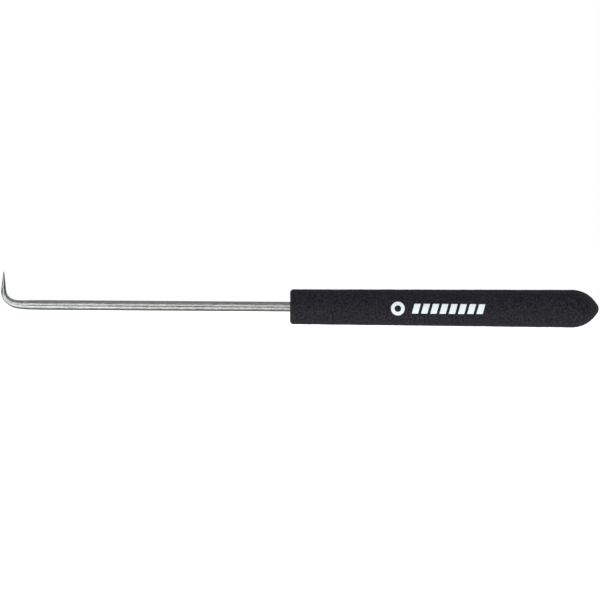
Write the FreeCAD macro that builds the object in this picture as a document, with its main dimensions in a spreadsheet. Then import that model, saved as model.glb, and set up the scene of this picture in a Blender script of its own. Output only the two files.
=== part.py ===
import FreeCAD, Part
import math
import os
import Sketcher

# A hook pick: a steel rod with a ground point bent up at a right angle, a rigid core moulded on its tang,
# and a closed-end cushion grip over the core.
# +X runs along the tool from the hook to the grip's tip, and the hook's leg points to +Z.
# The origin is on the shank's axis, in the plane of the grip's front face.

Vector = FreeCAD.Vector
ORIGIN = Vector(0, 0, 0)
SKETCH_NORMAL = Vector(0, 0, 1)
TOLERANCE = 1e-4               # for finding an edge by its place
BEND_STEPS = 6                 # cross-sections round the hook's bend

# Driving dimensions in millimetres and degrees.
SIZES = {
    # steel rod
    "shank_diameter": 4.1,
    "reach": 118.65,           # front of the grip to the centre of the hook's leg
    "hook_height": 13.8,       # shank's axis to the point
    "bend_radius": 6.0,        # centreline of the hook's bend
    "lead_radius": 40.0,       # gentle curve between the shank and the bend
    "lead_angle": 6.5,
    "tip_diameter": 0.3,
    "taper_length": 29.0,      # ground taper, along the centreline from the point
    "taper_power": 2.2,        # 1 is a straight cone, more bulges it outwards
    # tang inside the core
    "tang_length": 72.0,
    "tang_chamfer": 0.5,
    "wing_setback": 8.0,       # end of the tang to the first pair of wings
    "wing_pitch": 14.0,        # from one pair to the next
    "wing_length": 6.0,
    "wing_span": 5.8,
    "wing_thickness": 2.4,
    # rigid core
    "core_diameter": 9.0,
    "core_recess": 0.6,        # grip's front face to the core's front face
    "core_chamfer": 2.5,
    "ring_depth": 0.4,
    "ring_width": 2.4,         # diameter of the groove's round section
    "ring_margin": 12.0,       # each end of the core to the nearest ring groove
    "ring_count": 6,
    # cushion grip
    "grip_length": 127.9,
    "grip_front_diameter": 14.5,
    "grip_rear_diameter": 15.7,
    "grip_edge_radius": 1.4,
    "nose_angle": 52.0,        # the nose's cone to the axis
    "nose_shoulder_radius": 12.0,
    "nose_tip_radius": 3.1,
    "nose_wall": 5.9,          # end of the core to the grip's tip
}

# Places along the rod's centreline, as expressions. The arc length is measured from the point.
MAIN_ANGLE = "(90 - Sizes.lead_angle)"
LEAD_RISE = "Sizes.lead_radius * (1 - cos(Sizes.lead_angle))"
LEAD_RUN = "Sizes.lead_radius * sin(Sizes.lead_angle)"
BEND_RISE = "Sizes.bend_radius * cos(Sizes.lead_angle)"
BEND_RUN = "Sizes.bend_radius * (1 - sin(Sizes.lead_angle))"
LEG_LENGTH = f"(Sizes.hook_height - {LEAD_RISE} - {BEND_RISE})"
BEND_ARC = f"(Sizes.bend_radius * {MAIN_ANGLE} * pi / 180)"
LEAD_ARC = "(Sizes.lead_radius * Sizes.lead_angle * pi / 180)"
CURVE_START_X = f"({LEAD_RUN} + {BEND_RUN} - Sizes.reach)"
TAPER_END_X = f"({CURVE_START_X} + Sizes.taper_length - {LEG_LENGTH} - {BEND_ARC} - {LEAD_ARC})"
CORE_END_X = "(Sizes.grip_length - Sizes.nose_wall)"


def make_sheet(doc):
    """Put the driving dimensions in the spreadsheet, one aliased cell each."""
    sheet = doc.addObject("Spreadsheet::Sheet", "Sizes")
    for row, (alias, value) in enumerate(SIZES.items(), start=1):
        sheet.set(f"A{row}", alias)
        sheet.set(f"B{row}", str(value))
        sheet.setAlias(f"B{row}", alias)
    doc.recompute()
    return sheet


def make_body(doc, label):
    body = doc.addObject("PartDesign::Body", label)
    body.Label = label
    return body


def origin_feature(body, role):
    return next(feature for feature in body.Origin.OriginFeatures if feature.Role == role)


def make_sketch(body, name, plane):
    """A sketch on one of the body's own origin planes."""
    sketch = body.newObject("Sketcher::SketchObject", name)
    sketch.AttachmentSupport = (origin_feature(body, plane), "")
    sketch.MapMode = "FlatFace"
    return sketch


def number(item, expression):
    """The present value of an expression of the sheet's sizes, read through any object of the document."""
    return float(item.evalExpression(expression))


def constrain(sketch, kind, *where):
    sketch.addConstraint(Sketcher.Constraint(kind, *where))


def dimension(sketch, kind, where, expression):
    """Add a dimension that follows an expression of the sheet's sizes."""
    value = number(sketch, expression)
    if kind == "Angle":
        value = math.radians(value)
    index = sketch.addConstraint(Sketcher.Constraint(kind, *where, value))
    sketch.setExpression(f"Constraints[{index}]", expression)


def place_point(sketch, element, end, across, up):
    """Hold one end of an element at the sketch coordinates that two expressions give."""
    for kind, axis, expression in (("DistanceX", -2, across), ("DistanceY", -1, up)):
        if expression == "0":
            constrain(sketch, "PointOnObject", element, end, axis)
        elif number(sketch, expression) > 0:
            dimension(sketch, kind, (-1, 1, element, end), expression)
        else:
            dimension(sketch, kind, (element, end, -1, 1), f"-({expression})")


def draw_polygon(sketch, corners):
    """Draw a closed polygon whose corners are pairs of expressions, in a sketch with nothing else in it."""
    points = [Vector(number(sketch, across), number(sketch, up)) for across, up in corners]
    following = points[1:] + points[:1]
    for first, second in zip(points, following):
        sketch.addGeometry(Part.LineSegment(first, second))
    for line, corner in enumerate(corners):
        constrain(sketch, "Coincident", line, 2, (line + 1) % len(corners), 1)
        place_point(sketch, line, 1, *corner)


def draw_circle(sketch, diameter, across="0", up="0"):
    """Draw a circle with its centre at the sketch coordinates that two expressions give."""
    centre = Vector(number(sketch, across), number(sketch, up))
    sketch.addGeometry(Part.Circle(centre, SKETCH_NORMAL, number(sketch, diameter) / 2))
    place_point(sketch, 0, 3, across, up)
    dimension(sketch, "Diameter", (0,), diameter)


def edges_at(feature, position, radius):
    """Name the circular edges round the tool's axis at one place along it."""
    place = number(feature, position)
    size = number(feature, radius)
    names = []
    for index, edge in enumerate(feature.Shape.Edges, start=1):
        if edge.Degenerated or not isinstance(edge.Curve, Part.Circle):
            continue
        off_place = abs(edge.Curve.Center.x - place)
        off_size = abs(edge.Curve.Radius - size)
        if max(off_place, off_size) < TOLERANCE:
            names.append(f"Edge{index}")
    return names


def round_edges(body, feature, position, edge_radius, fillet_radius):
    """Fillet the circular edge of a feature at one place along the tool's axis."""
    body.Document.recompute()
    fillet = body.newObject("PartDesign::Fillet", f"{feature.Name}_rounded")
    fillet.Base = (feature, edges_at(feature, position, edge_radius))
    fillet.setExpression("Radius", fillet_radius)
    return fillet


def extrude(body, kind, name, sketch, length):
    """Pad or pocket a sketch by the same amount on each side of its plane."""
    feature = body.newObject(kind, name)
    feature.Profile = sketch
    feature.SideType = "Symmetric"
    feature.setExpression("Length", length)
    return feature


def revolve(body, kind, name, sketch):
    """Revolve a sketch a full turn about its own horizontal axis, which is the tool's axis."""
    feature = body.newObject(kind, name)
    feature.Profile = sketch
    feature.ReferenceAxis = (sketch, ["H_Axis"])
    feature.Angle = 360
    return feature


def draw_centreline(sketch):
    """Draw the rod's centreline from the point to the end of the ground taper.

    It runs down the leg, round the bend and the gentle lead-in curve, then along the shank's axis.
    """
    reach, height, bend_radius, lead_radius, bend_top, curve_start, taper_end = (
        number(sketch, expression)
        for expression in ("Sizes.reach", "Sizes.hook_height", "Sizes.bend_radius", "Sizes.lead_radius",
                           f"{LEAD_RISE} + {BEND_RISE}", CURVE_START_X, TAPER_END_X)
    )
    bottom_angle = math.radians(270)
    joint_angle = bottom_angle - math.radians(number(sketch, "Sizes.lead_angle"))
    bend_circle = Part.Circle(Vector(bend_radius - reach, bend_top), SKETCH_NORMAL, bend_radius)
    lead_circle = Part.Circle(Vector(curve_start, lead_radius), SKETCH_NORMAL, lead_radius)
    leg = sketch.addGeometry(Part.LineSegment(Vector(-reach, height), Vector(-reach, bend_top)))
    bend = sketch.addGeometry(Part.ArcOfCircle(bend_circle, math.pi, joint_angle))
    lead = sketch.addGeometry(Part.ArcOfCircle(lead_circle, joint_angle, bottom_angle))
    run = sketch.addGeometry(Part.LineSegment(Vector(curve_start, 0), Vector(taper_end, 0)))
    constrain(sketch, "Vertical", leg)
    place_point(sketch, leg, 1, "-Sizes.reach", "Sizes.hook_height")
    for first, second in ((leg, bend), (bend, lead), (lead, run)):
        constrain(sketch, "Tangent", first, 2, second, 1)
    dimension(sketch, "Radius", (bend,), "Sizes.bend_radius")
    dimension(sketch, "Radius", (lead,), "Sizes.lead_radius")
    dimension(sketch, "Angle", (lead,), "Sizes.lead_angle")
    place_point(sketch, run, 2, TAPER_END_X, "0")


def taper_stations():
    """Cross-sections of the ground taper: place along and above the axis, turn so far, and arc length."""
    for share in (0, 0.35, 0.7):
        along = f"{share} * {LEG_LENGTH}"
        yield "-Sizes.reach", f"Sizes.hook_height - {along}", "0", along
    for step in range(BEND_STEPS):
        turn = f"({MAIN_ANGLE} * {step} / {BEND_STEPS})"
        across = f"Sizes.bend_radius * (1 - cos({turn})) - Sizes.reach"
        height = f"{LEAD_RISE} + {BEND_RISE} - Sizes.bend_radius * sin({turn})"
        yield across, height, turn, f"{LEG_LENGTH} + {BEND_ARC} * {step} / {BEND_STEPS}"
    for left in (1, 0.5, 0):
        angle = f"({left} * Sizes.lead_angle)"
        across = f"{CURVE_START_X} - Sizes.lead_radius * sin({angle})"
        height = f"Sizes.lead_radius * (1 - cos({angle}))"
        yield across, height, f"(90 - {angle})", f"{LEG_LENGTH} + {BEND_ARC} + {1 - left} * {LEAD_ARC}"
    yield TAPER_END_X, "0", "90", "Sizes.taper_length"


def make_station(body, index, across, height, turn, along):
    """One round section of the ground taper, square to the centreline."""
    sketch = make_sketch(body, f"taper_section_{index}", "YZ_Plane")
    sketch.setExpression(
        "AttachmentOffset",
        f"placement(vector(0; {height}; {across}); rotation(vector(1; 0; 0); 90 - {turn}))",
    )
    draw_circle(
        sketch,
        "Sizes.tip_diameter + (Sizes.shank_diameter - Sizes.tip_diameter)"
        f" * (1 - pow(1 - ({along}) / Sizes.taper_length; Sizes.taper_power))",
    )
    return sketch


def draw_wing(sketch, start, end):
    """Draw one wing's half: a plate from the axis out to a bulging arc."""
    foot = "Sizes.shank_diameter / 2"
    bulge = f"(Sizes.wing_span / 2 - {foot})"
    radius = f"(pow(Sizes.wing_length / 2; 2) + pow({bulge}; 2)) / (2 * {bulge})"
    low, high, shoulder, size, top = (
        number(sketch, expression) for expression in (start, end, foot, radius, "Sizes.wing_span / 2")
    )
    spread = math.asin((high - low) / 2 / size)
    circle = Part.Circle(Vector((low + high) / 2, top - size), SKETCH_NORMAL, size)
    base = sketch.addGeometry(Part.LineSegment(Vector(low, 0), Vector(high, 0)))
    right = sketch.addGeometry(Part.LineSegment(Vector(high, 0), Vector(high, shoulder)))
    arc = sketch.addGeometry(Part.ArcOfCircle(circle, math.pi / 2 - spread, math.pi / 2 + spread))
    left = sketch.addGeometry(Part.LineSegment(Vector(low, shoulder), Vector(low, 0)))
    for first, second in ((base, right), (right, arc), (arc, left), (left, base)):
        constrain(sketch, "Coincident", first, 2, second, 1)
    place_point(sketch, base, 1, start, "0")
    place_point(sketch, right, 1, end, "0")
    place_point(sketch, arc, 1, end, foot)
    place_point(sketch, left, 1, start, foot)
    dimension(sketch, "Radius", (arc,), radius)


def add_wings(body, name, start, flat_plane, wing_plane):
    """Swage the tang: two flats over a short length, and the pressed-out metal as wings beside them."""
    end = f"({start} + Sizes.wing_length)"
    flat = "Sizes.wing_thickness / 2"
    flat_sketch = make_sketch(body, f"{name}_flat_sketch", flat_plane)
    draw_polygon(flat_sketch, ((start, flat), (end, flat), (end, "Sizes.shank_diameter"),
                               (start, "Sizes.shank_diameter")))
    pocket = extrude(body, "PartDesign::Pocket", f"{name}_flat", flat_sketch, "2 * Sizes.shank_diameter")
    wing_sketch = make_sketch(body, f"{name}_wing_sketch", wing_plane)
    draw_wing(wing_sketch, start, end)
    pad = extrude(body, "PartDesign::Pad", f"{name}_wing", wing_sketch, "Sizes.wing_thickness")
    pair = body.newObject("PartDesign::PolarPattern", f"{name}_pair")
    pair.Originals = [pocket, pad]
    pair.Axis = (origin_feature(body, "X_Axis"), [""])
    pair.Angle = 360
    pair.Occurrences = 2
    body.Tip = pair


def make_hook_shaft(doc):
    """The steel rod: ground point and hook in one multi-section pipe, then the shank and the tang."""
    body = make_body(doc, "hook_shaft")
    path = make_sketch(body, "centreline", "XZ_Plane")
    draw_centreline(path)
    sections = [make_station(body, index, *station) for index, station in enumerate(taper_stations())]
    doc.recompute()
    hook = body.newObject("PartDesign::AdditivePipe", "tapered_hook")
    hook.Profile = sections[0]
    hook.Spine = (path, [f"Edge{index}" for index in range(1, len(path.Shape.Edges) + 1)])
    hook.Transformation = "Multisection"
    hook.Sections = [(section, [""]) for section in sections[1:]]
    shank_sketch = make_sketch(body, "shank_sketch", "YZ_Plane")
    shank_sketch.setExpression("AttachmentOffset.Base.z", TAPER_END_X)
    draw_circle(shank_sketch, "Sizes.shank_diameter")
    shank = body.newObject("PartDesign::Pad", "shank")
    shank.Profile = shank_sketch
    shank.setExpression("Length", f"Sizes.tang_length - {TAPER_END_X}")
    doc.recompute()
    chamfer = body.newObject("PartDesign::Chamfer", "tang_end")
    chamfer.Base = (shank, edges_at(shank, "Sizes.tang_length", "Sizes.shank_diameter / 2"))
    chamfer.setExpression("Size", "Sizes.tang_chamfer")
    outer_start = "(Sizes.tang_length - Sizes.wing_setback - Sizes.wing_length)"
    add_wings(body, "outer_wings", outer_start, "XY_Plane", "XZ_Plane")
    add_wings(body, "inner_wings", f"({outer_start} - Sizes.wing_pitch)", "XZ_Plane", "XY_Plane")
    return body


def make_core_blank(doc):
    """The core's outside: a bar with a chamfered end, and ring grooves that the soft grip keys into."""
    body = make_body(doc, "core_blank")
    radius = "Sizes.core_diameter / 2"
    sketch = make_sketch(body, "core_outline", "XZ_Plane")
    draw_polygon(sketch, (
        ("Sizes.core_recess", "0"),
        (CORE_END_X, "0"),
        (CORE_END_X, f"{radius} - Sizes.core_chamfer"),
        (f"{CORE_END_X} - Sizes.core_chamfer", radius),
        ("Sizes.core_recess", radius),
    ))
    revolve(body, "PartDesign::Revolution", "core_bar", sketch)
    ring_sketch = make_sketch(body, "ring_outline", "XZ_Plane")
    draw_circle(ring_sketch, "Sizes.ring_width", "Sizes.core_recess + Sizes.ring_margin",
                f"{radius} + Sizes.ring_width / 2 - Sizes.ring_depth")
    doc.recompute()
    ring = revolve(body, "PartDesign::Groove", "ring_groove", ring_sketch)
    rings = body.newObject("PartDesign::LinearPattern", "ring_grooves")
    rings.Originals = [ring]
    rings.Direction = (origin_feature(body, "X_Axis"), [""])
    rings.setExpression("Length", f"{CORE_END_X} - Sizes.core_recess - 2 * Sizes.ring_margin")
    rings.setExpression("Occurrences", "Sizes.ring_count")
    body.Tip = rings
    return body


def draw_grip_outline(sketch):
    """Draw half the grip's lengthways section: flat front, slight taper, cone and rounded tip."""
    length, front, rear, tip, angle = (
        number(sketch, f"Sizes.{name}")
        for name in ("grip_length", "grip_front_diameter", "grip_rear_diameter", "nose_tip_radius",
                     "nose_angle")
    )
    slope = math.radians(angle)
    touch = Vector(length - tip + tip * math.sin(slope), tip * math.cos(slope))
    shoulder = Vector(touch.x - (rear / 2 - touch.y) / math.tan(slope), rear / 2)
    circle = Part.Circle(Vector(length - tip, 0), SKETCH_NORMAL, tip)
    face = sketch.addGeometry(Part.LineSegment(Vector(0, front / 2), ORIGIN))
    axis = sketch.addGeometry(Part.LineSegment(ORIGIN, Vector(length, 0)))
    point = sketch.addGeometry(Part.ArcOfCircle(circle, 0, math.pi / 2 - slope))
    cone = sketch.addGeometry(Part.LineSegment(touch, shoulder))
    side = sketch.addGeometry(Part.LineSegment(shoulder, Vector(0, front / 2)))
    for first, second in ((face, axis), (axis, point), (cone, side), (side, face)):
        constrain(sketch, "Coincident", first, 2, second, 1)
    constrain(sketch, "Tangent", point, 2, cone, 1)
    constrain(sketch, "PointOnObject", point, 3, -1)
    place_point(sketch, axis, 1, "0", "0")
    place_point(sketch, axis, 2, "Sizes.grip_length", "0")
    place_point(sketch, face, 1, "0", "Sizes.grip_front_diameter / 2")
    dimension(sketch, "DistanceY", (-1, 1, cone, 2), "Sizes.grip_rear_diameter / 2")
    dimension(sketch, "Radius", (point,), "Sizes.nose_tip_radius")
    dimension(sketch, "Angle", (point,), "90 - Sizes.nose_angle")


def make_grip_blank(doc):
    """The grip's outside, rounded at its front edge and its nose, and open down to the core's face."""
    body = make_body(doc, "grip_blank")
    sketch = make_sketch(body, "grip_outline", "XZ_Plane")
    draw_grip_outline(sketch)
    bar = revolve(body, "PartDesign::Revolution", "grip_bar", sketch)
    front = round_edges(body, bar, "0", "Sizes.grip_front_diameter / 2", "Sizes.grip_edge_radius")
    tip = "Sizes.nose_tip_radius"
    shoulder = (f"Sizes.grip_length - {tip} + {tip} * sin(Sizes.nose_angle)"
                f" - (Sizes.grip_rear_diameter / 2 - {tip} * cos(Sizes.nose_angle)) / tan(Sizes.nose_angle)")
    round_edges(body, front, shoulder, "Sizes.grip_rear_diameter / 2", "Sizes.nose_shoulder_radius")
    mouth_sketch = make_sketch(body, "mouth_sketch", "YZ_Plane")
    draw_circle(mouth_sketch, "Sizes.core_diameter")
    extrude(body, "PartDesign::Pocket", "mouth", mouth_sketch, "2 * Sizes.core_recess")
    return body


def cut_away(doc, label, base, tool):
    """A piece moulded round another: its outside less the piece inside it."""
    piece = doc.addObject("Part::Cut", label)
    piece.Label = label
    piece.Base = base
    piece.Tool = tool
    return piece


def check(doc, pieces):
    """Stop if any object failed or a piece isn't one valid solid."""
    for item in doc.Objects:
        if "Invalid" in item.State or "Error" in item.State:
            raise RuntimeError(f"{item.Label} didn't compute: {item.State}")
    for piece in pieces:
        shape = piece.Shape
        if shape.isNull() or not shape.isValid() or len(shape.Solids) != 1:
            raise RuntimeError(f"{piece.Label} isn't one valid solid")
        print(f"{piece.Label}: {shape.Volume:.1f} mm3, {len(shape.Faces)} faces")


def main():
    doc = FreeCAD.newDocument("HookPick")
    make_sheet(doc)
    hook_shaft = make_hook_shaft(doc)
    core_blank = make_core_blank(doc)
    grip_blank = make_grip_blank(doc)
    pieces = (
        hook_shaft,
        cut_away(doc, "handle_core", core_blank, hook_shaft),
        cut_away(doc, "cushion_grip", grip_blank, core_blank),
    )
    doc.recompute()
    check(doc, pieces)
    os.makedirs("parts", exist_ok=True)
    for piece in pieces:
        piece.Shape.exportStep(f"parts/{piece.Label}.step")


main()
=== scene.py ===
import math

import bmesh
import bpy
from mathutils import Matrix, Vector, noise


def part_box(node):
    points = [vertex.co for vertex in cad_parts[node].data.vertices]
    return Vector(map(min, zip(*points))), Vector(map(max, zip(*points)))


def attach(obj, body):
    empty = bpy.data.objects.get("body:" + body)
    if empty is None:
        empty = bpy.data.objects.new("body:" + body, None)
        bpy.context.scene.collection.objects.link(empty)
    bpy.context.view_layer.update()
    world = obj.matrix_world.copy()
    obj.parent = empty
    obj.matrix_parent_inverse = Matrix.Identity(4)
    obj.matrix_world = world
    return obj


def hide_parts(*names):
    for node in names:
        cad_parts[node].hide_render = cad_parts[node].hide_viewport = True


# A hook pick on a pale floor: a ground steel rod with a bent point, in a black foam grip with a printed mark.
# Everything is in metres, in the CAD model's frame: +X runs from the hook to the grip's tip, +Z along the
# hook's leg, and the origin is on the shank's axis in the plane of the grip's front face.

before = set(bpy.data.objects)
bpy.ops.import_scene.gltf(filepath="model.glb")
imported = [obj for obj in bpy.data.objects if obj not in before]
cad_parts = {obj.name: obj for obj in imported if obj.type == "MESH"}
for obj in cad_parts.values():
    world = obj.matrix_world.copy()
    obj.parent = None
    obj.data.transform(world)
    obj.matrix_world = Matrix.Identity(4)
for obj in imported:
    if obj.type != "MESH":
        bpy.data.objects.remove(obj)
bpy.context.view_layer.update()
CORE_LOW, CORE_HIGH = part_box("handle_core")
GRIP_LOW, GRIP_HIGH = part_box("cushion_grip")

MM = 0.001
FULL_TURN = 2 * math.pi
RIGHT_ANGLE = math.pi / 2

# Steel rod: the bend between its leg and its shank.
BEND_RADIUS = 6 * MM
REACH = 118.65 * MM
BEND_CENTRE_X = BEND_RADIUS - REACH
BEND_CENTRE_Z = 6.22 * MM

# Foam grip.
GRIP_FRONT_RADIUS = 14.5 * MM / 2
GRIP_REAR_RADIUS = 15.7 * MM / 2
GRIP_EDGE_RADIUS = 1.4 * MM
MOUTH_EDGE_RADIUS = 0.25 * MM
NOSE_ANGLE = math.radians(52)
NOSE_SHOULDER_RADIUS = 12 * MM
NOSE_TIP_RADIUS = 3.1 * MM
CORE_CHAMFER = 2.5 * MM
RING_DEPTH = 0.4 * MM
RING_RADIUS = 1.2 * MM
RING_MARGIN = 12 * MM
RING_COUNT = 6
GRIP_SEGMENTS = 168
GRIP_SPACING = 0.29 * MM
POLE_RADIUS = 0.15 * MM


def add_node(tree, kind, inputs=None, **settings):
    """Add a node, set its properties, and give each input a value or another node's output."""
    node = tree.nodes.new(kind)
    for name, value in settings.items():
        setattr(node, name, value)
    for name, value in (inputs or {}).items():
        if isinstance(value, bpy.types.NodeSocket):
            tree.links.new(value, node.inputs[name])
        else:
            node.inputs[name].default_value = value
    return node


def scaled(tree, place, scale):
    """A place multiplied by a scale for each axis, in pattern cells per metre."""
    return add_node(tree, "ShaderNodeVectorMath", {0: place, 1: scale}, operation="MULTIPLY").outputs[0]


def noise_value(tree, place, scale, detail=3.0, roughness=0.5):
    """Noise from 0 to 1, with a scale for each axis in cells per metre."""
    inputs = {"Vector": scaled(tree, place, scale), "Scale": 1.0, "Detail": detail, "Roughness": roughness}
    return add_node(tree, "ShaderNodeTexNoise", inputs).outputs["Fac"]


def remapped(tree, value, source, target):
    """A value taken smoothly from one range to another."""
    inputs = {"Value": value, "From Min": source[0], "From Max": source[1], "To Min": target[0],
              "To Max": target[1]}
    return add_node(tree, "ShaderNodeMapRange", inputs, interpolation_type="SMOOTHSTEP").outputs["Result"]


def calculated(tree, operation, first, second=0):
    """The result of one sum on a value, or on two."""
    return add_node(tree, "ShaderNodeMath", {0: first, 1: second}, operation=operation).outputs[0]


def mixed_colour(tree, share, first, second):
    """A colour between two others."""
    node = add_node(tree, "ShaderNodeMix", {0: share}, data_type="RGBA")
    for socket, colour in ((node.inputs[6], first), (node.inputs[7], second)):
        if isinstance(colour, bpy.types.NodeSocket):
            tree.links.new(colour, socket)
        else:
            socket.default_value = (*colour, 1)
    return node.outputs[2]


def bumped(tree, height, distance, normal=None):
    """A normal for relief of a real height, in metres."""
    inputs = {"Height": height, "Distance": distance, "Strength": 1.0}
    if normal:
        inputs["Normal"] = normal
    return add_node(tree, "ShaderNodeBump", inputs).outputs["Normal"]


def make_material(name, colour):
    """A material with an empty tree apart from its shader. Returns (material, tree, shader)."""
    material = bpy.data.materials.new(name)
    material.use_nodes = True
    material.diffuse_color = (*colour, 1)
    tree = material.node_tree
    shader = tree.nodes["Principled BSDF"]
    return material, tree, shader


def feed(tree, shader, **sources):
    """Link outputs to the shader's inputs, named with underscores for spaces."""
    for name, output in sources.items():
        tree.links.new(output, shader.inputs[name.replace("_", " ")])


def rod_place(tree):
    """A place along the rod, across it in the plane of the bend, and square to that plane, in metres.

    It is measured from the bend's centre, so the steel's lines run along the shank, round the bend and up
    the leg without a break.
    """
    place = add_node(tree, "ShaderNodeTexCoord").outputs["Object"]
    parts = add_node(tree, "ShaderNodeSeparateXYZ", {0: place})
    past_x = calculated(tree, "SUBTRACT", parts.outputs["X"], BEND_CENTRE_X)
    past_z = calculated(tree, "SUBTRACT", parts.outputs["Z"], BEND_CENTRE_Z)
    back = calculated(tree, "MULTIPLY", calculated(tree, "MINIMUM", past_x, 0), -1)
    down = calculated(tree, "MULTIPLY", calculated(tree, "MINIMUM", past_z, 0), -1)
    back_squared = calculated(tree, "MULTIPLY", back, back)
    down_squared = calculated(tree, "MULTIPLY", down, down)
    across = calculated(tree, "SQRT", calculated(tree, "ADD", back_squared, down_squared))
    round_bend = calculated(tree, "MULTIPLY", calculated(tree, "ARCTAN2", back, down), BEND_RADIUS)
    straight = calculated(tree, "SUBTRACT", calculated(tree, "MAXIMUM", past_x, 0),
                          calculated(tree, "MAXIMUM", past_z, 0))
    along = calculated(tree, "SUBTRACT", straight, round_bend)
    return add_node(tree, "ShaderNodeCombineXYZ", {0: along, 1: across, 2: parts.outputs["Y"]}).outputs[0]


def make_steel():
    """Bright drawn and ground steel, with fine lines along the rod."""
    material, tree, shader = make_material("ground_steel", (0.6, 0.6, 0.6))
    place = rod_place(tree)
    lines = noise_value(tree, place, (45, 4200, 4200), detail=4, roughness=0.6)
    dashes = noise_value(tree, place, (480, 3000, 3000), detail=2)
    hairs = noise_value(tree, place, (220, 15000, 15000), detail=2)
    patches = noise_value(tree, place, (60, 120, 120), detail=3)
    shade = calculated(tree, "ADD", lines, dashes)
    streak = remapped(tree, shade, (0.8, 1.2), (0, 1))
    bright = mixed_colour(tree, remapped(tree, patches, (0.4, 0.6), (0, 1)), (0.71, 0.735, 0.745),
                          (0.74, 0.75, 0.69))
    colour = mixed_colour(tree, streak, (0.41, 0.42, 0.43), bright)
    roughness = remapped(tree, lines, (0.3, 0.7), (0.10, 0.20))
    coarse = bumped(tree, lines, 0.04 * MM)
    dashed = bumped(tree, dashes, 0.04 * MM, coarse)
    fine = bumped(tree, hairs, 0.004 * MM, dashed)
    feed(tree, shader, Base_Color=colour, Roughness=roughness, Normal=fine)
    shader.inputs["Metallic"].default_value = 1.0
    return material


def make_foam():
    """Black foam vinyl with a matt, finely pebbled skin."""
    material, tree, shader = make_material("black_foam_vinyl", (0.02, 0.02, 0.02))
    place = add_node(tree, "ShaderNodeTexCoord").outputs["Object"]
    mottle = noise_value(tree, place, (30, 90, 90), detail=4, roughness=0.6)
    grain = noise_value(tree, place, (1500, 1500, 1500), detail=2, roughness=0.6)
    cells = add_node(tree, "ShaderNodeTexVoronoi", {"Vector": place, "Scale": 1500.0, "Smoothness": 0.4},
                     feature="SMOOTH_F1").outputs["Distance"]
    tint = mixed_colour(tree, remapped(tree, mottle, (0.35, 0.65), (0, 1)), (0.0024, 0.0038, 0.0050),
                        (0.0040, 0.0026, 0.0053))
    colour = mixed_colour(tree, remapped(tree, grain, (0.36, 0.66), (0, 1)), tint, (0.028, 0.027, 0.036))
    roughness = remapped(tree, grain, (0.3, 0.7), (0.62, 0.85))
    pebbled = bumped(tree, cells, -0.25 * MM)
    skin = bumped(tree, grain, 0.12 * MM, pebbled)
    feed(tree, shader, Base_Color=colour, Roughness=roughness, Normal=skin)
    shader.inputs["Specular IOR Level"].default_value = 0.27
    return material


def make_core_plastic():
    """Dark moulded plastic with a fine spark-eroded texture."""
    material, tree, shader = make_material("moulded_plastic", (0.05, 0.05, 0.05))
    place = add_node(tree, "ShaderNodeTexCoord").outputs["Object"]
    grain = noise_value(tree, place, (3500, 3500, 3500))
    flow = noise_value(tree, place, (90, 400, 400))
    colour = mixed_colour(tree, flow, (0.035, 0.036, 0.038), (0.055, 0.055, 0.056))
    roughness = remapped(tree, grain, (0.3, 0.7), (0.45, 0.65))
    feed(tree, shader, Base_Color=colour, Roughness=roughness, Normal=bumped(tree, grain, 0.02 * MM))
    return material


def make_ink():
    """White pad-printed ink, thinner where it crosses the foam's pits."""
    material, tree, shader = make_material("white_print", (0.85, 0.88, 0.9))
    place = add_node(tree, "ShaderNodeTexCoord").outputs["Object"]
    grain = noise_value(tree, place, (2600, 2600, 2600), detail=3, roughness=0.6)
    cover = remapped(tree, grain, (0.24, 0.42), (0, 1))
    colour = mixed_colour(tree, cover, (0.50, 0.55, 0.58), (0.84, 0.91, 0.95))
    roughness = remapped(tree, grain, (0.3, 0.7), (0.42, 0.62))
    feed(tree, shader, Base_Color=colour, Roughness=roughness, Normal=bumped(tree, grain, 0.04 * MM))
    return material


def make_floor_paint():
    """Pale, matt and almost even, softly lit from inside as a light table is."""
    material, tree, shader = make_material("pale_floor", (0.9, 0.9, 0.9))
    place = add_node(tree, "ShaderNodeTexCoord").outputs["Object"]
    grain = noise_value(tree, place, (300, 300, 300))
    colour = mixed_colour(tree, grain, (0.90, 0.90, 0.90), (0.93, 0.93, 0.93))
    feed(tree, shader, Base_Color=colour, Normal=bumped(tree, grain, 0.02 * MM))
    shader.inputs["Roughness"].default_value = 0.9
    shader.inputs["Emission Color"].default_value = (1, 1, 1, 1)
    shader.inputs["Emission Strength"].default_value = 0.9
    shader.inputs["Specular IOR Level"].default_value = 0.1
    return material


def make_object(name, mesh, material, body=True):
    """A smooth-shaded object for a mesh. It rides on the tool's one body unless body is False."""
    maker = bmesh.new()
    maker.from_mesh(mesh)
    bmesh.ops.recalc_face_normals(maker, faces=maker.faces)
    maker.to_mesh(mesh)
    maker.free()
    mesh.materials.append(material)
    mesh.shade_smooth()
    piece = bpy.data.objects.new(name, mesh)
    bpy.context.scene.collection.objects.link(piece)
    if body:
        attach(piece, "root")
    return piece


def make_skin(name, rings, first_pole, last_pole):
    """A closed mesh through rings of points, with one more point closing each end."""
    count = len(rings[0])
    vertices = [first_pole]
    for ring in rings:
        vertices.extend(ring)
    vertices.append(last_pole)
    last_start = 1 + (len(rings) - 1) * count
    faces = []
    for place in range(count):
        beside = (place + 1) % count
        faces.append((0, 1 + beside, 1 + place))
        faces.append((len(vertices) - 1, last_start + place, last_start + beside))
        for start in range(1, last_start, count):
            faces.append((start + place, start + beside, start + count + beside, start + count + place))
    mesh = bpy.data.meshes.new(name)
    mesh.from_pydata(vertices, [], faces)
    return mesh


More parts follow.
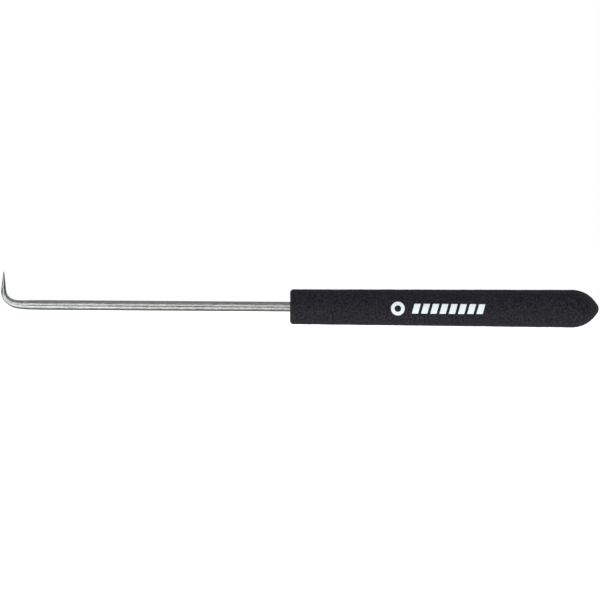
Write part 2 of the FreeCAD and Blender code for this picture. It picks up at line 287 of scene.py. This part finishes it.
def rounded_outline(corners):
    """An outline through corners of (place along the axis, radius, rounding), as points."""
    outline = []
    for index, (along, out, rounding) in enumerate(corners):
        corner = Vector((along, out))
        if not rounding:
            outline.append(corner)
            continue
        before = (Vector(corners[index - 1][:2]) - corner).normalized()
        after = (Vector(corners[index + 1][:2]) - corner).normalized()
        half = before.angle(after) / 2
        centre = corner + (before + after).normalized() * rounding / math.sin(half)
        start = corner + before * rounding / math.tan(half) - centre
        turn = (math.pi - 2 * half) * (-1 if before.cross(after) > 0 else 1)
        steps = 2 * max(2, math.ceil(abs(turn) * rounding / GRIP_SPACING / 2))
        outline += [centre + Matrix.Rotation(turn * step / steps, 2) @ start for step in range(steps + 1)]
    return outline


def filled(outline, spacing):
    """The outline with its long runs divided."""
    points = [outline[0]]
    for first, second in zip(outline, outline[1:]):
        steps = max(1, round((second - first).length / spacing))
        points += [first.lerp(second, step / steps) for step in range(1, steps + 1)]
    return points


def side_radius(x):
    """The grip's radius along its tapered side."""
    apex = GRIP_HIGH.x - NOSE_TIP_RADIUS + NOSE_TIP_RADIUS / math.sin(NOSE_ANGLE)
    shoulder = apex - GRIP_REAR_RADIUS / math.tan(NOSE_ANGLE)
    return GRIP_FRONT_RADIUS + (GRIP_REAR_RADIUS - GRIP_FRONT_RADIUS) * x / shoulder


def grip_outline():
    """The grip's outside, from its mouth round the front edge and along the side to its tip."""
    apex = GRIP_HIGH.x - NOSE_TIP_RADIUS + NOSE_TIP_RADIUS / math.sin(NOSE_ANGLE)
    shoulder = apex - GRIP_REAR_RADIUS / math.tan(NOSE_ANGLE)
    outline = rounded_outline((
        (CORE_LOW.x, CORE_HIGH.z, 0),
        (0, CORE_HIGH.z, MOUTH_EDGE_RADIUS),
        (0, GRIP_FRONT_RADIUS, GRIP_EDGE_RADIUS),
        (shoulder, GRIP_REAR_RADIUS, NOSE_SHOULDER_RADIUS),
        (apex, 0, NOSE_TIP_RADIUS),
        (shoulder, -GRIP_REAR_RADIUS, 0),
    ))
    return filled([point for point in outline if point.y > POLE_RADIUS], GRIP_SPACING)


def grip_lining():
    """The grip's inside against the core, from the core's far end to its front face."""
    spacing = (CORE_HIGH.x - CORE_LOW.x - 2 * RING_MARGIN) / (RING_COUNT - 1)
    centres = [CORE_LOW.x + RING_MARGIN + spacing * step for step in range(RING_COUNT)]
    half = math.sqrt(RING_RADIUS ** 2 - (RING_RADIUS - RING_DEPTH) ** 2)
    lining = [
        Vector((CORE_HIGH.x, CORE_HIGH.z - CORE_CHAMFER)),
        Vector((CORE_HIGH.x - CORE_CHAMFER, CORE_HIGH.z)),
    ]
    for centre in reversed(centres):
        for share in (1, 0.6, 0.2, -0.2, -0.6, -1):
            depth = math.sqrt(RING_RADIUS ** 2 - (half * share) ** 2) - (RING_RADIUS - RING_DEPTH)
            lining.append(Vector((centre + half * share, CORE_HIGH.z - depth)))
    return lining


def foam_relief(point):
    """The height of the foam's uneven skin at a point, in metres."""
    swell = noise.noise(point / (7 * MM))
    dents = noise.noise(point / (2.2 * MM) + Vector((5, 0, 0)))
    pebbles = noise.noise(point / (0.8 * MM))
    return 0.05 * MM * swell + 0.04 * MM * dents + 0.035 * MM * pebbles


def ring_of(along, out, normal=None):
    """A ring of points round the tool's axis. With the outline's normal, it gets the foam's relief."""
    ring = []
    for step in range(GRIP_SEGMENTS):
        angle = FULL_TURN * step / GRIP_SEGMENTS
        outward = Vector((0, math.cos(angle), math.sin(angle)))
        point = Vector((along, 0, 0)) + out * outward
        if normal:
            point += foam_relief(point) * (Vector((normal.x, 0, 0)) + normal.y * outward)
        ring.append(point)
    return ring


def make_grip():
    """The foam grip: its lining round the core, its mouth, and its uneven outside."""
    rings = [ring_of(*point) for point in grip_lining()]
    outline = grip_outline()
    rings.append(ring_of(*outline[0]))
    for before, point, after in zip(outline, outline[1:], outline[2:]):
        direction = (after - before).normalized()
        rings.append(ring_of(*point, Vector((-direction.y, direction.x))))
    mesh = make_skin("foam_grip", rings, Vector((CORE_HIGH.x, 0, 0)), Vector((GRIP_HIGH.x, 0, 0)))
    piece = make_object("foam_grip", mesh, make_foam())
    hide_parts("cushion_grip")


MARK_START = 41.6 * MM
MARK_HEIGHT = -0.4 * MM
RING_MARK_RADIUS = 2.85 * MM
RING_MARK_WIDTH = 1.5 * MM
BAR_COUNT = 8
BAR_WIDTH = 2.6 * MM
BAR_PITCH = 3.8 * MM
BAR_HEIGHT = 4.06 * MM
BAR_SLANT = 1.1 * MM
BARS_START = 50.2 * MM
INK_LIFT = 0.03 * MM
INK_DEPTH = 0.09 * MM
RING_MARK_STEPS = 6
RING_MARK_SEGMENTS = 64
BAR_STEPS_ACROSS = 10
BAR_STEPS_UP = 16


def on_foam(x, z):
    """The point of the printed face above a place on the front of the grip."""
    radius = side_radius(x)
    outward = Vector((0, -math.sqrt(radius * radius - z * z), z)) / radius
    point = Vector((x, 0, 0)) + radius * outward
    return point + (foam_relief(point) + INK_LIFT) * outward


def add_patch(maker, rows, closed=False):
    """Add faces between rows of printed points."""
    made = [[maker.verts.new(on_foam(*place)) for place in row] for row in rows]
    for lower, upper in zip(made, made[1:]):
        count = len(lower)
        for index in range(count if closed else count - 1):
            beside = (index + 1) % count
            maker.faces.new((lower[index], lower[beside], upper[beside], upper[index]))


def make_print():
    """A plain printed mark: a ring and a row of slanted bars."""
    maker = bmesh.new()
    rows = []
    for step in range(RING_MARK_STEPS + 1):
        radius = RING_MARK_RADIUS - RING_MARK_WIDTH * step / RING_MARK_STEPS
        angles = [FULL_TURN * turn / RING_MARK_SEGMENTS for turn in range(RING_MARK_SEGMENTS)]
        rows.append([(MARK_START + RING_MARK_RADIUS + radius * math.cos(angle),
                      MARK_HEIGHT + radius * math.sin(angle)) for angle in angles])
    add_patch(maker, rows, closed=True)
    for bar in range(BAR_COUNT):
        start = BARS_START + BAR_PITCH * bar
        rows = [[(start + BAR_WIDTH * across / BAR_STEPS_ACROSS + BAR_SLANT * up / BAR_STEPS_UP,
                  MARK_HEIGHT + BAR_HEIGHT * (up / BAR_STEPS_UP - 0.5))
                 for across in range(BAR_STEPS_ACROSS + 1)] for up in range(BAR_STEPS_UP + 1)]
        add_patch(maker, rows)
    bmesh.ops.recalc_face_normals(maker, faces=maker.faces)
    outward = maker.faces[:][0].normal.y < 0
    bmesh.ops.solidify(maker, geom=maker.faces[:], thickness=INK_DEPTH if outward else -INK_DEPTH)
    mesh = bpy.data.meshes.new("grip_mark")
    maker.to_mesh(mesh)
    maker.free()
    piece = make_object("grip_mark", mesh, make_ink())


def make_floor():
    """A wide floor that the grip lies on. Steel doesn't mirror it: the room's light does that."""
    mesh = bpy.data.meshes.new("floor")
    half = 6.0
    height = GRIP_LOW.z - 0.1 * MM
    corners = [(x * half, y * half, height) for x, y in ((-1, -1), (1, -1), (1, 1), (-1, 1))]
    mesh.from_pydata(corners, [], [(0, 1, 2, 3)])
    floor = make_object("floor", mesh, make_floor_paint(), body=False)
    floor.visible_glossy = False


def toward(elevation, azimuth=0):
    """The unit direction from the tool toward an elevation and an azimuth to the right, in degrees."""
    up, right = math.radians(elevation), math.radians(azimuth)
    return Vector((math.sin(right) * math.cos(up), -math.cos(right) * math.cos(up), math.sin(up)))


# The room that the steel mirrors. Angles are in degrees: the rise above the horizontal in front of the tool,
# and the side to its right. A pair is a range. A brightness of 1 is white.
SOFTBOX_RISE = (-66, 34)
SOFTBOX_RISE_EDGE = 20
SOFTBOX_SIDE = (-84, 2)
SOFTBOX_SIDE_EDGE = 10
SOFTBOX_CORNER = (-18, 400)
SOFTBOX_CORNER_EDGE = 14
SOFTBOX_CORNER_SLOPE = 3
SOFTBOX_LEFT_FADE = (-45, -8)
SOFTBOX_LEFT_SHARE = 0.72
SOFTBOX_BRIGHTNESS_RISE = (-50, 5)
SOFTBOX_BRIGHTNESS = (1.72, 1.38)
LENS_ELEVATION = -15
LENS_ANGLES = (6, 20)
LENS_DIMMING = 1.32
ROOM_RISE = (60, 100)
ROOM_BRIGHTNESS = (0.33, 0.27)
# Elevation and azimuth, the angles where a change is whole and where it ends, and the change in brightness.
ROOM_CHANGES = (
    ((-5, -50), (20, 50), 0.12),
    ((5, 60), (25, 60), -0.15),
    ((0, 66), (12, 42), -0.16),
)
STRIP_RISES = ((8, 60), (-70, -12))
STRIP_SIDE = (30, 70)
STRIP_EDGE = 10
STRIP_BRIGHTNESS = 0.9
DIFFUSE_BRIGHTNESS = 0.52


def near(tree, direction, way, angles):
    """1 within the first angle from a way, and 0 outside the second."""
    inner, outer = angles
    dot = add_node(tree, "ShaderNodeVectorMath", {0: direction, 1: way}, operation="DOT_PRODUCT")
    ends = (math.cos(math.radians(outer)), math.cos(math.radians(inner)))
    return remapped(tree, dot.outputs["Value"], ends, (0, 1))


def between(tree, angle, limits, edge):
    """1 between two limits, and 0 outside them, with an edge of some degrees centred on each."""
    low, high = limits
    low_ends = (math.radians(low - edge / 2), math.radians(low + edge / 2))
    high_ends = (math.radians(high - edge / 2), math.radians(high + edge / 2))
    above = remapped(tree, angle, low_ends, (0, 1))
    return calculated(tree, "MULTIPLY", above, remapped(tree, angle, high_ends, (1, 0)))


def in_radians(angles):
    return tuple(math.radians(angle) for angle in angles)


def softbox_shape(tree, rise, side):
    """The outline of the broad light in front: a rectangle with its lower left corner cut off."""
    upright = between(tree, rise, SOFTBOX_RISE, SOFTBOX_RISE_EDGE)
    softbox = calculated(tree, "MULTIPLY", upright, between(tree, side, SOFTBOX_SIDE, SOFTBOX_SIDE_EDGE))
    below = calculated(tree, "MINIMUM", rise, 0)
    drop = calculated(tree, "MULTIPLY", below, SOFTBOX_CORNER_SLOPE)
    slant = calculated(tree, "SUBTRACT", side, drop)
    corner = between(tree, slant, SOFTBOX_CORNER, SOFTBOX_CORNER_EDGE)
    softbox = calculated(tree, "MULTIPLY", softbox, corner)
    fade = remapped(tree, side, in_radians(SOFTBOX_LEFT_FADE), (SOFTBOX_LEFT_SHARE, 1))
    return calculated(tree, "MULTIPLY", softbox, fade)


def room_brightness(tree, direction, rise):
    """The dim room round the lights, with a few parts of it brighter or darker."""
    steep = calculated(tree, "ABSOLUTE", rise)
    dim = remapped(tree, steep, in_radians(ROOM_RISE), ROOM_BRIGHTNESS)
    for way, angles, change in ROOM_CHANGES:
        share = near(tree, direction, toward(*way), angles)
        dim = calculated(tree, "ADD", dim, calculated(tree, "MULTIPLY", share, change))
    return dim


def strips_behind(tree, parts):
    """Two rows of bright strips behind the tool, one above and one below."""
    rise = calculated(tree, "ARCTAN2", parts.outputs["Z"], parts.outputs["Y"])
    turned = calculated(tree, "ARCTAN2", parts.outputs["X"], parts.outputs["Y"])
    side = calculated(tree, "ABSOLUTE", turned)
    upper, lower = [between(tree, rise, limits, STRIP_EDGE) for limits in STRIP_RISES]
    strips = calculated(tree, "ADD", upper, lower)
    strips = calculated(tree, "MULTIPLY", strips, between(tree, side, STRIP_SIDE, STRIP_EDGE))
    return calculated(tree, "MULTIPLY", strips, STRIP_BRIGHTNESS)


def mirrored_light(tree):
    """The brightness that steel mirrors from each direction."""
    direction = add_node(tree, "ShaderNodeTexCoord").outputs["Generated"]
    parts = add_node(tree, "ShaderNodeSeparateXYZ", {0: direction})
    toward_front = calculated(tree, "MULTIPLY", parts.outputs["Y"], -1)
    rise = calculated(tree, "ARCTAN2", parts.outputs["Z"], toward_front)
    side = calculated(tree, "ARCTAN2", parts.outputs["X"], toward_front)
    dim = room_brightness(tree, direction, rise)
    lit = remapped(tree, rise, in_radians(SOFTBOX_BRIGHTNESS_RISE), SOFTBOX_BRIGHTNESS)
    lens = near(tree, direction, toward(LENS_ELEVATION), LENS_ANGLES)
    lit = calculated(tree, "SUBTRACT", lit, calculated(tree, "MULTIPLY", lens, LENS_DIMMING))
    brighter = calculated(tree, "SUBTRACT", lit, dim)
    glow = calculated(tree, "MULTIPLY", softbox_shape(tree, rise, side), brighter)
    return calculated(tree, "ADD", calculated(tree, "ADD", dim, glow), strips_behind(tree, parts))


def make_room():
    """White to the camera and softly lit all round, with a darker room and its lights for steel to mirror."""
    world = bpy.data.worlds.new("studio")
    bpy.context.scene.world = world
    world.use_nodes = True
    tree = world.node_tree
    tree.nodes.clear()
    white = (1, 1, 1, 1)
    ray = add_node(tree, "ShaderNodeLightPath")
    seen = add_node(tree, "ShaderNodeBackground", {"Color": white, "Strength": 1.0})
    soft = add_node(tree, "ShaderNodeBackground", {"Color": white, "Strength": DIFFUSE_BRIGHTNESS})
    mirror = add_node(tree, "ShaderNodeBackground", {"Color": white, "Strength": mirrored_light(tree)})
    lighting = add_node(tree, "ShaderNodeMixShader", {0: ray.outputs["Is Glossy Ray"], 1: soft.outputs[0],
                                                      2: mirror.outputs[0]})
    result = add_node(tree, "ShaderNodeMixShader", {0: ray.outputs["Is Camera Ray"], 1: lighting.outputs[0],
                                                    2: seen.outputs[0]})
    add_node(tree, "ShaderNodeOutputWorld", {"Surface": result.outputs[0]})


def make_key_light():
    """One broad, even light from above."""
    light = bpy.data.lights.new("key", "SUN")
    light.energy = 0.3
    light.angle = math.radians(60)
    lamp = bpy.data.objects.new("key", light)
    lamp.rotation_euler = (math.radians(25), math.radians(-15), 0)
    lamp.visible_glossy = False
    bpy.context.scene.collection.objects.link(lamp)


LENS_LENGTH = 200
SENSOR_WIDTH = 36
VIEW_WIDTH = 248.5 * MM
AIM_X = 4.11 * MM
AIM_Z = 2.82 * MM
CAMERA_ROLL = math.radians(-0.4)


def make_camera():
    """A long lens square to the tool, turned a little about its own line of sight."""
    data = bpy.data.cameras.new("camera")
    data.lens = LENS_LENGTH
    data.sensor_width = SENSOR_WIDTH
    distance = VIEW_WIDTH * LENS_LENGTH / SENSOR_WIDTH
    camera = bpy.data.objects.new("camera", data)
    camera.location = (AIM_X, -distance, AIM_Z)
    camera.rotation_euler = (RIGHT_ANGLE, CAMERA_ROLL, 0)
    data.clip_start = 0.01
    data.clip_end = 50
    bpy.context.scene.collection.objects.link(camera)
    bpy.context.scene.camera = camera


def paint(name, material):
    """A CAD piece keeps its shape and gets a better material."""
    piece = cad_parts[name]
    piece.data.materials.clear()
    piece.data.materials.append(material)


bpy.context.scene.view_settings.view_transform = "Standard"
make_camera()
make_room()
make_key_light()
make_floor()
paint("hook_shaft", make_steel())
paint("handle_core", make_core_plastic())
make_grip()
make_print()
